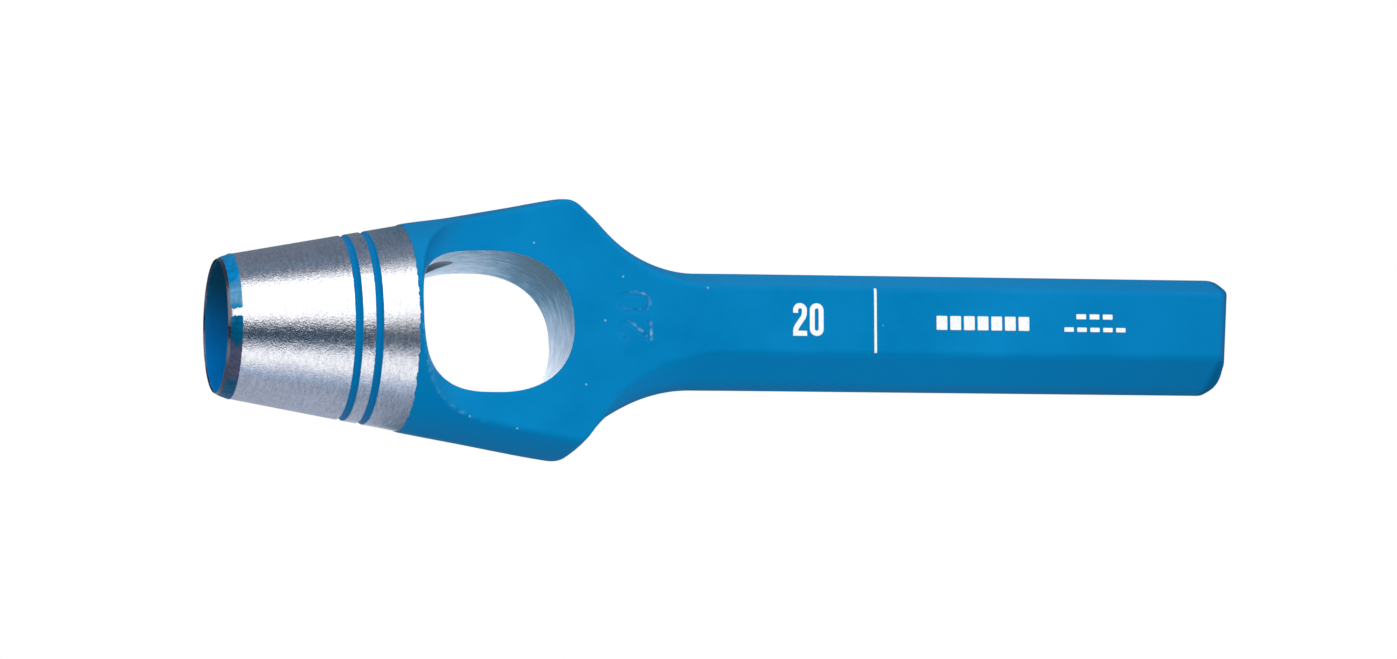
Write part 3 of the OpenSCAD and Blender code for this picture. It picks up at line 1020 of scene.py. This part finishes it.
def build_body_enamel():
    """A thin closed shell over the arch and shank, sunk a little into the steel."""
    grid = (
        grid_lines(GROUND_END - 0.9, (59.4, 0.42), (65.4, 0.17), (81, 0.5), (153.2, 2.0),
                   (159.5, 0.36)),
        grid_lines(-21.6, (-4.6, 0.43), (5.2, 0.175), (21.6, 0.43)),
        grid_lines(-17, (17, 0.43)))
    surfaces = [coat_outer, coat_window, coat_cut]
    points, quads, mask = extract(grid, surfaces, relax=2)
    quads = quads[owning_surface(points, quads, surfaces) == 0]
    points, quads, mask = compact(points, quads, mask)
    mask |= 1
    normal = gradient(coat_outer, points)
    normal /= np.linalg.norm(normal, axis=1, keepdims=True)
    depth = COAT + 0.06
    inner = points - normal * depth
    edge = mask > 1
    inner[edge] = project(inner[edge], mask[edge], surfaces, rounds=5, target=[-depth, 0, 0])
    # a brushed-on film thins at its edge
    points[edge] -= normal[edge] * 0.04
    count = len(points)
    faces = quads.tolist() + (quads[:, ::-1] + count).tolist()
    for loop in boundary_loops(quads):
        faces += [(b, a, a + count, b + count) for a, b in zip(loop, loop[1:] + loop[:1])]
    obj = make("body_enamel_visual", np.concatenate([points, inner]), faces, (BODY_ENAMEL,),
               sharp_angle=50)
    paint_attributes(obj, np.concatenate([points, points]))
    register(obj, "body_enamel")


# ------------------------------------------------------------------ enamel left on the head
def build_bore_enamel():
    def jitter(x, r, angle):
        edge = np.exp(-(((x - 0.3) / 0.4) ** 2))
        uneven = 0.015 * noise(x * 0.4, angle * 6, 0, 42)
        on_film = r < bore_radius(x) - 0.06
        return x + edge * 0.07 * noise(angle * 14, 0, 0, 41), r + uneven * on_film

    # (x, height above the bore wall towards the axis)
    stations = [(0.26, 0.03)]
    stations += [(x, 0.12) for x in (0.36, 1.0, 2, 4, 7, 10, 14, 18, 22, 25, 27.6)]
    stations += [(27.85, 0.08), (27.85, -0.05), (15, -0.05), (0.3, -0.05)]
    profile = [(x, bore_radius(x) - height) for x, height in stations]
    points, faces = ring_mesh(profile, 256, jitter)
    obj = make("bore_enamel_visual", points, faces, (BORE_ENAMEL,), sharp_angle=40)
    register(obj, "bore_enamel")


# where the bevel paint is rubbed through: (degrees from +Z towards -Y, half width, strength)
BEVEL_RUBS = ((0.5, 3.6, 1.0), (150.0, 9.0, 0.9), (222.0, 12.0, 0.8))
# its colour round the ring, worn paint and bare steel with painted light and shade: (degrees as
# above, (r, g, b))
BEVEL_TONES = (
    (-180, (0.0, 0.17, 0.42)), (-60, (0.0, 0.19, 0.47)), (-30, (0.0, 0.21, 0.52)),
    (-23, (0.07, 0.27, 0.50)), (-9, (0.13, 0.36, 0.58)), (-4, (0.02, 0.22, 0.46)),
    (6, (0.0, 0.115, 0.26)), (24, (0.0, 0.085, 0.19)), (31, (0.07, 0.080, 0.145)),
    (54, (0.085, 0.088, 0.15)), (64, (0.01, 0.10, 0.20)), (95, (0.0, 0.13, 0.30)),
    (180, (0.0, 0.17, 0.42)))


def build_bevel_enamel():
    start = 0.42

    def jitter(x, r, angle):
        along = (x - start) / (BEVEL_LENGTH - 0.45)
        on_film = r > bevel_radius(x) + 0.01
        film = 0.075 + 0.03 * noise(angle * 22, x * 2.2, 0, 51)
        film = film + 0.03 * noise(angle * 60, x * 5.0, 0, 52)
        degrees = np.degrees(np.arctan2(-np.cos(angle), np.sin(angle)))
        for centre, half_width, strength in BEVEL_RUBS:
            away = (degrees - centre + 180) % 360 - 180
            film = film - strength * 0.16 * np.exp(-((away / half_width) ** 2))
        film = film - 0.05 * unit(1 - along * 9)
        film = np.clip(film, -0.05, 0.12)
        return (np.where(on_film, x - film * math.sin(BEVEL_ANGLE), x),
                np.where(on_film, r - 0.05 + film * math.cos(BEVEL_ANGLE), r))

    top = [(x, bevel_radius(x) + 0.05) for x in np.linspace(start, BEVEL_LENGTH - 0.03, 15)]
    under = [(x, bevel_radius(x) - 0.1) for x in (BEVEL_LENGTH - 0.1, 1.2, 0.46)]
    points, faces = ring_mesh(top + under, 900, jitter)
    obj = make("bevel_enamel_visual", points, faces, (BEVEL_ENAMEL,), sharp_angle=60)
    x, y, z = points.T
    degrees = np.degrees(np.arctan2(-y, z))
    wavy = degrees + 5 * noise(x * 1.4, degrees * 0.12, 0, 55)
    stops = [stop for stop, _ in BEVEL_TONES]
    channels = [np.interp(wavy, stops, [rgb[m] for _, rgb in BEVEL_TONES]) for m in range(3)]
    tones = np.stack(channels + [np.ones(len(degrees))], 1)
    tones[:, :3] *= (1 + 0.22 * noise(x * 2.5, degrees * 0.5, 0, 56))[:, None]
    # the tone holds the wear of the paint and its painted light and shade round the ring
    data = obj.data.attributes.new("tone", "FLOAT_COLOR", "POINT").data
    data.foreach_set("color", unit(tones).astype(np.float32).ravel())
    register(obj, "bevel_enamel")


# sections of the groove enamel: (distance into the groove, depth below the cone)
GROOVE_FILM = ((0.0, 0.03), (0.10, 0.10), (0.14, 0.30), (0.30, GROOVE_DEPTH - 0.17))
GROOVE_FILM_UNDER = ((-0.05, 0.12), (-0.05, GROOVE_DEPTH + 0.05))


def build_groove_enamel(start, part):
    def jitter(x, r, angle):
        rim = unit(1 - (cone_radius(x) - r) / 0.14)
        ragged = noise(angle * 48, (x - start) * 1.5, 0, int(start))
        return x, r - rim * (0.05 + 0.09 * ragged)

    front, rear = groove_sides(start, GROOVE_FILM)
    under_front, under_rear = groove_sides(start, GROOVE_FILM_UNDER)
    mean_radius = (cone_radius(start) + cone_radius(start + GROOVE_WIDTH)) / 2
    middle = [(start + 0.6, mean_radius - GROOVE_DEPTH + 0.12)]
    profile = front + middle + rear[::-1] + under_rear + under_front[::-1]
    points, faces = ring_mesh(profile, 420, jitter)
    obj = make(part + "_visual", points, faces, (GROOVE_ENAMEL,), sharp_angle=60)
    register(obj, part)


# ------------------------------------------------------------------ printed marks on the face
INK = 0.11  # ink thickness
INK_EDGE = INK * 0.55  # height where its rounded edge starts
INK_SUNK = -0.03
SHEAR = 0.05  # lean of the print: x gained per mm of y
FIGURE_HIGH = 5.1
FIGURE_WIDE = 2.2
FIGURE_GAP = 0.45
FIGURE_STROKE = 0.8
FIGURES_X = 89.45
FIGURES_Y = 0.1
# centre lines of the figures, (x, y) from the lower left corner
PRINT_TWO = [(0.4, 3.57), (0.4, 3.97)] + arc(1.1, 4.0, 0.7, 0.7, 172, 8, 9)
PRINT_TWO += [(1.8, 3.95), (1.78, 3.4), (1.62, 2.9), (0.64, 1.52), (0.45, 1.08), (0.4, 0.75),
              (0.4, 0.4), (2.2, 0.4)]
PRINT_ZERO = arc(1.1, 4.0, 0.7, 0.7, 0, 180, 10) + arc(1.1, 1.1, 0.7, 0.7, 180, 360, 10)


def enamel_top(x, y):
    """Height of the enamel over a point of the marked face."""
    z = np.full(np.shape(x), SHANK_THICK + COAT)
    for _ in range(8):
        f = coat_outer(x, y, z)
        slope = (coat_outer(x, y, z + 0.01) - f) / 0.01
        z = z - f / np.where(np.abs(slope) < 0.2, 1, slope)
    return z


def stroke(path, width, closed=False):
    """A stroke of ink along a path of (x, y): places, heights and faces."""
    p = np.asarray(path, float)
    n = len(p)
    i = np.arange(n)
    before = i - 1 if closed else np.maximum(i - 1, 0)
    after = (i + 1) % n if closed else np.minimum(i + 1, n - 1)
    a = p - p[before]
    b = p[after] - p
    length_a, length_b = (np.linalg.norm(step, axis=1, keepdims=True) for step in (a, b))
    unit_a, unit_b = a / np.maximum(length_a, 1e-9), b / np.maximum(length_b, 1e-9)
    # an open end takes the direction of its only neighbour
    a = np.where(length_a > 0, unit_a, unit_b)
    b = np.where(length_b > 0, unit_b, unit_a)
    along = a + b
    along /= np.linalg.norm(along, axis=1, keepdims=True)
    across = np.column_stack([-along[:, 1], along[:, 0]])
    mitre = 1 / np.maximum((along * a).sum(1), 0.6)
    half = width / 2
    section = ((-half, INK_SUNK), (-half, INK_EDGE), (-half + 0.05, INK),
               (half - 0.05, INK), (half, INK_EDGE), (half, INK_SUNK))
    k = len(section)
    places = [p[m] + across[m] * offset * mitre[m] for m in range(n) for offset, _ in section]
    heights = [height for _, height in section] * n
    faces = []
    for m in range(n if closed else n - 1):
        m2 = (m + 1) % n
        for s in range(k):
            s2 = (s + 1) % k
            faces.append((m * k + s, m * k + s2, m2 * k + s2, m2 * k + s))
    if not closed:
        faces += [tuple(range(k))[::-1], tuple(range((n - 1) * k, n * k))]
    return np.array(places), heights, faces


def plate(x0, y0, x1, y1, radius):
    """A flat block of ink with rounded corners: places, heights and faces."""
    outline = []
    for x, y, start in ((x1 - radius, y1 - radius, 0), (x0 + radius, y1 - radius, 90),
                        (x0 + radius, y0 + radius, 180), (x1 - radius, y0 + radius, 270)):
        outline += arc(x, y, radius, radius, start, start + 90, 4)
    outline = np.array(outline)
    middle = np.array([(x0 + x1) / 2, (y0 + y1) / 2])
    inset = middle + (outline - middle) * (1 - 0.09 / np.array([x1 - x0, y1 - y0]))
    places = np.concatenate([outline, outline, inset])
    places[:, 0] += SHEAR * places[:, 1]
    k = len(outline)
    heights = np.repeat([INK_SUNK, INK_EDGE, INK], k)
    faces = [(m * k + s, m * k + (s + 1) % k, (m + 1) * k + (s + 1) % k, (m + 1) * k + s)
             for m in (0, 1) for s in range(k)]
    faces += [tuple(range(k))[::-1], tuple(range(2 * k, 3 * k))]
    return places, heights, faces


def plate_row(count, pitch, x, y, radius):
    """Plates along +X; x and y are the (low, high) limits of the first."""
    return [plate(x[0] + m * pitch, y[0], x[1] + m * pitch, y[1], radius)
            for m in range(count)]


def figure(path, x, closed=False):
    """A printed figure with its left side at x."""
    bottom = FIGURES_Y - FIGURE_HIGH / 2
    leaning = [(x + px + SHEAR * (py - FIGURE_HIGH / 2), bottom + py) for px, py in path]
    return stroke(leaning, FIGURE_STROKE, closed)


def build_print(part, shapes):
    points, faces = [], []
    base = 0
    for places, heights, shape_faces in shapes:
        tops = enamel_top(places[:, 0], places[:, 1])
        points.append(np.column_stack([places, tops + np.asarray(heights)]))
        faces += [tuple(m + base for m in face) for face in shape_faces]
        base += len(places)
    obj = make(part + "_visual", np.concatenate(points), faces, (PRINT,), sharp_angle=35)
    mesh = bmesh.new()
    mesh.from_mesh(obj.data)
    bmesh.ops.recalc_face_normals(mesh, faces=mesh.faces)
    mesh.to_mesh(obj.data)
    mesh.free()
    register(obj, part)


def build_prints():
    build_print("size_print", [
        figure(PRINT_TWO, FIGURES_X - FIGURE_WIDE - FIGURE_GAP / 2),
        figure(PRINT_ZERO, FIGURES_X + FIGURE_GAP / 2, closed=True)])
    divider = [(100.18 + SHEAR * y, y) for y in np.linspace(-4.95, 5.1, 15)]
    build_print("divider_print", [stroke(divider, width=0.42)])
    build_print("bar_print", plate_row(7, 2.22, x=(110, 111.75), y=(-1.25, 0.95), radius=0.14))
    build_print("rule_print",
                plate_row(3, 2.18, x=(132.8, 134.4), y=(0.7, 1.5), radius=0.1)
                + plate_row(5, 2.13, x=(130.8, 132.35), y=(-1.3, -0.6), radius=0.1))


# ------------------------------------------------------------------ floor, light, camera
FLOOR_Z = -16.0
FLOOR_HALF = 2500.0


def floor_paper():
    """Glowing paper: white to the camera, zoned greys to the light the metal gathers."""
    material = bpy.data.materials.new("floor_paper")
    nodes = Nodes(material)
    camera_ray = nodes.add("ShaderNodeLightPath", {}, "Is Camera Ray")
    glossy_ray = nodes.add("ShaderNodeLightPath", {}, "Is Glossy Ray")
    x, y, _ = nodes.split(nodes.place())

    def band(value, low, high, soft):
        """1 between low and high, with edges soft mm wide either way."""
        return nodes.times(nodes.fade_in(value, low - soft, 2 * soft),
                           nodes.fade_out(value, high + soft, 2 * soft))

    under_window = nodes.times(band(x, 24, 60, soft=4.0), band(y, -14, 14, soft=4.0))
    under_head = band(x, -2000, 27, soft=3.0)
    minus_y = band(y, -9000, 0, soft=4.0)
    # what glossy rays see: by the head one tone for each side, then the shank, then the window
    sheen = nodes.mix(minus_y, (0.17, 0.205, 0.27), (0.41, 0.46, 0.57))
    sheen = nodes.mix(under_head, (0.07, 0.14, 0.21), sheen)
    sheen = nodes.mix(under_window, sheen, (1.75, 1.78, 1.82))
    bounce = nodes.mix(under_window, (0.50, 0.505, 0.52), (1.25, 1.27, 1.30))
    unseen = nodes.mix(glossy_ray, bounce, sheen)
    glow = nodes.add("ShaderNodeEmission", {0: nodes.mix(camera_ray, unseen, (1.0, 1.0, 1.0))})
    nodes.node("ShaderNodeOutputMaterial", {0: glow})
    return material


def build_floor():
    corners = [(x * FLOOR_HALF, y * FLOOR_HALF, FLOOR_Z)
               for x, y in ((-1, -1), (1, -1), (1, 1), (-1, 1))]
    make("floor", corners, [(0, 1, 2, 3)], (floor_paper(),))


def cool(level):
    """A bluish light of the given level."""
    return (level * 0.76, level, level * 1.36)


# reflected sky: (degrees round the X axis from the tilted zenith towards +Y, grey or colour)
SKY_TILT = math.radians(12.5)  # lean of that zenith towards -Y
SKY_BANDS = (
    (-180, cool(0.20)), (-128, cool(0.26)), (-104, cool(0.56)), (-68, cool(0.52)),
    (-57, 1.10), (-36, 1.36), (-26, cool(0.32)), (-20, (0.02, 0.055, 0.10)),
    (4, (0.015, 0.05, 0.09)), (9, 1.22), (15, 1.58), (25, 1.50), (34, 0.98), (45, 1.50),
    (67, 1.50), (73, 1.05), (78, cool(0.19)), (98, cool(0.24)), (114, cool(0.42)),
    (130, cool(0.30)), (180, cool(0.22)))


def build_world(scene):
    """White to the camera, bands of light to glossy rays, a soft slope to the rest."""
    scene.world = bpy.data.worlds.new("studio")
    nodes = Nodes(scene.world)
    direction = nodes.add("ShaderNodeTexCoord", {}, "Generated")

    def dot(axis):
        return nodes.vector("DOT_PRODUCT", direction, axis, output=1)

    zenith = dot((0, -math.sin(SKY_TILT), math.cos(SKY_TILT)))
    sideways = dot((0, math.cos(SKY_TILT), math.sin(SKY_TILT)))
    bands = nodes.ramp_round(nodes.turn(sideways, zenith), SKY_BANDS)
    # brightest towards this direction, never below zero
    soft = nodes.math("MAXIMUM", nodes.plus(dot((0.24, 0.34, 0.50)), 0.650), 0.0)
    rays = nodes.node("ShaderNodeLightPath", {}).outputs
    colour = nodes.mix(rays["Is Glossy Ray"], soft, bands)
    colour = nodes.mix(rays["Is Camera Ray"], colour, (1.0, 1.0, 1.0))
    background = nodes.add("ShaderNodeBackground", {0: colour, 1: 1.0})
    nodes.node("ShaderNodeOutputWorld", {0: background})


def stand(obj, right, up, back, location):
    """Places an object by its axes and location, in metres."""
    rows = [tuple(row) for row in np.column_stack([right, up, back, location])]
    obj.matrix_world = Matrix(rows + [(0, 0, 0, 1)])
    bpy.context.scene.collection.objects.link(obj)


def build_softbox(name, location, target, size, power):
    """Area light, in metres and watts."""
    light = bpy.data.lights.new(name, "AREA")
    light.shape = "RECTANGLE"
    light.size, light.size_y = size
    light.energy = power
    back = np.array(location, float) - np.array(target, float)
    back /= np.linalg.norm(back)
    right = np.cross([0, 1, 0.01], back)
    right /= np.linalg.norm(right)
    stand(bpy.data.objects.new(name, light), right, np.cross(back, right), back, location)


# camera axes in the tool's frame, and the tool's origin along them, in mm
CAMERA_AXES = np.array((
    (0.960020193, -0.047852888, 0.275810315),  # right
    (0.011985657, -0.977350284, -0.211288350),  # down
    (0.279674047, 0.206146850, -0.937702460)))  # forward
ORIGIN_FROM_CAMERA = np.array((-71.78079404, -0.5016, 743.00686705))


def build_camera(scene):
    data = bpy.data.cameras.new("camera")
    data.sensor_width = 36.0
    data.lens = 128.8475304
    data.clip_start = 0.01
    data.clip_end = 20
    camera = bpy.data.objects.new("camera", data)
    right, down, forward = CAMERA_AXES
    location = -CAMERA_AXES.T @ ORIGIN_FROM_CAMERA * MM
    stand(camera, right, -down, -forward, location)
    scene.camera = camera


def set_view(scene):
    view = scene.view_settings
    view.view_transform = "Standard"
    view.look = "None"
    view.exposure = 0.0
    view.gamma = 1.0


build_forging()
build_body_enamel()
build_bore_enamel()
build_bevel_enamel()
for groove, part_name in zip(GROOVES, ("groove_enamel_front", "groove_enamel_rear")):
    build_groove_enamel(groove, part_name)
build_prints()
build_floor()
set_view(bpy.context.scene)
build_world(bpy.context.scene)
build_softbox("key_softbox", location=(0.05, 0.55, 0.85), target=(0.08, 0, 0),
              size=(1.1, 0.7), power=0.9)
build_camera(bpy.context.scene)
